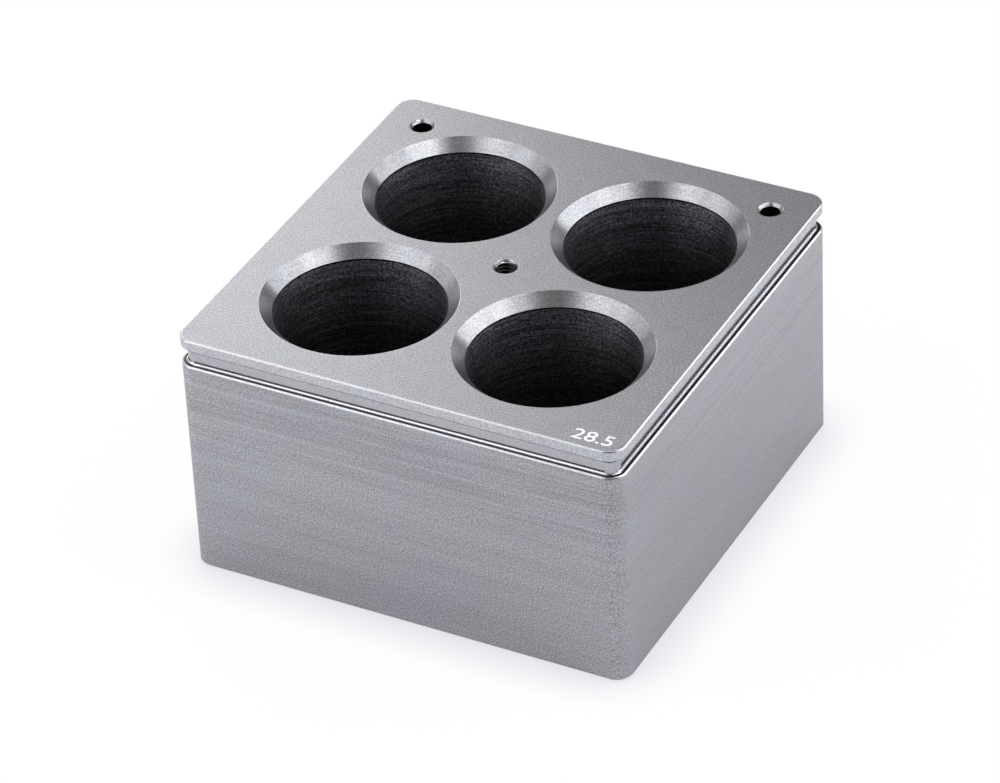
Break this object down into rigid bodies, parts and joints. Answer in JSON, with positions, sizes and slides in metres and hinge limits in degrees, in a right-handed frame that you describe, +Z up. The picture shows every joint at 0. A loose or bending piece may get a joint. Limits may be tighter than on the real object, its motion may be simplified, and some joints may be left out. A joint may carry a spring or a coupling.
{
  "type": "heat block insert",
  "caption": "Machined metal block with round wells that hold vials in a dry bath heater, with a grip groove under its top lip and small holes for a lifting screw and temperature probes.",
  "frame": {"origin": "centre of the underside, which rests on the heater plate", "axes": "+Z up, along the wells, out of their mouths; -Y is the front face; +Y is the rear, where the two sensor holes are"},
  "size_m": [0.079, 0.079, 0.045],
  "materials": {
    "block": "bead-blasted and hard-anodised, grey, matte with a fine grain, turned and milled faces slightly glossier"
  },
  "bodies": {
    "root": {"heat_block": "block"}
  },
  "joints": []
}
